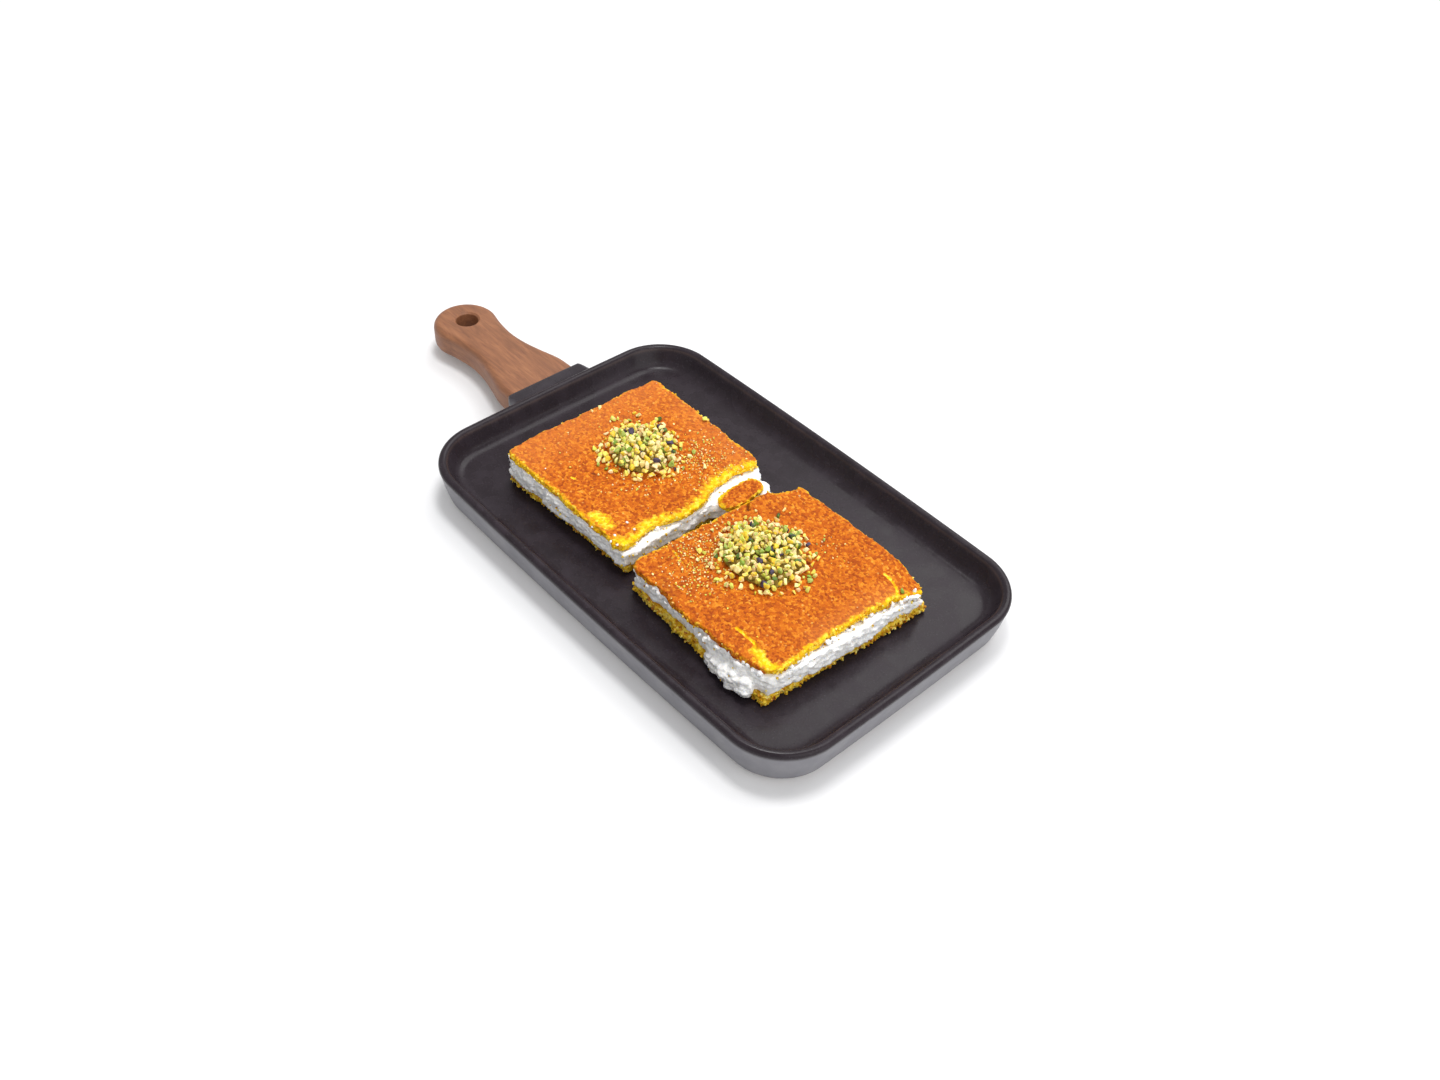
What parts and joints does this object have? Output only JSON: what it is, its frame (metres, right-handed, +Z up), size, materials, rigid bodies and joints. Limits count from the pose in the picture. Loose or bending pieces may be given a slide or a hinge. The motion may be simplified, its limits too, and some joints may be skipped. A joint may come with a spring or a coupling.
{
  "type": "plate of cream kunafa",
  "caption": "Oblong black stoneware tray with a wooden handle, holding squares of cream-filled crumb pastry topped with chopped pistachio.",
  "frame": {"origin": "on the table, under the middle of the whole object's length and width", "axes": "+X along the tray, away from the handle; +Z up; +Y to the left of someone who looks along +X"},
  "size_m": [0.3376, 0.157, 0.037],
  "materials": {
    "glazed_stoneware": "semi-matt charcoal glaze, lighter outside, brown where it breaks over the rim",
    "oiled_acacia": "oiled, reddish brown with darker grain",
    "syrup_soaked_crumb": "moist yellow crumb",
    "clotted_cream": "soft, slightly moist white cream",
    "browned_crumb": "orange-brown baked crumb with a yellow fringe",
    "chopped_pistachio": "matt, yellow-green with cream and purple skin"
  },
  "bodies": {
    "root": {"dish": "glazed_stoneware", "handle": "oiled_acacia", "back_base": "syrup_soaked_crumb", "back_cream": "clotted_cream", "back_crust": "browned_crumb", "back_nuts": "chopped_pistachio", "front_base": "syrup_soaked_crumb", "front_cream": "clotted_cream", "front_crust": "browned_crumb", "front_nuts": "chopped_pistachio", "crust_shard": "browned_crumb"}
  },
  "joints": []
}
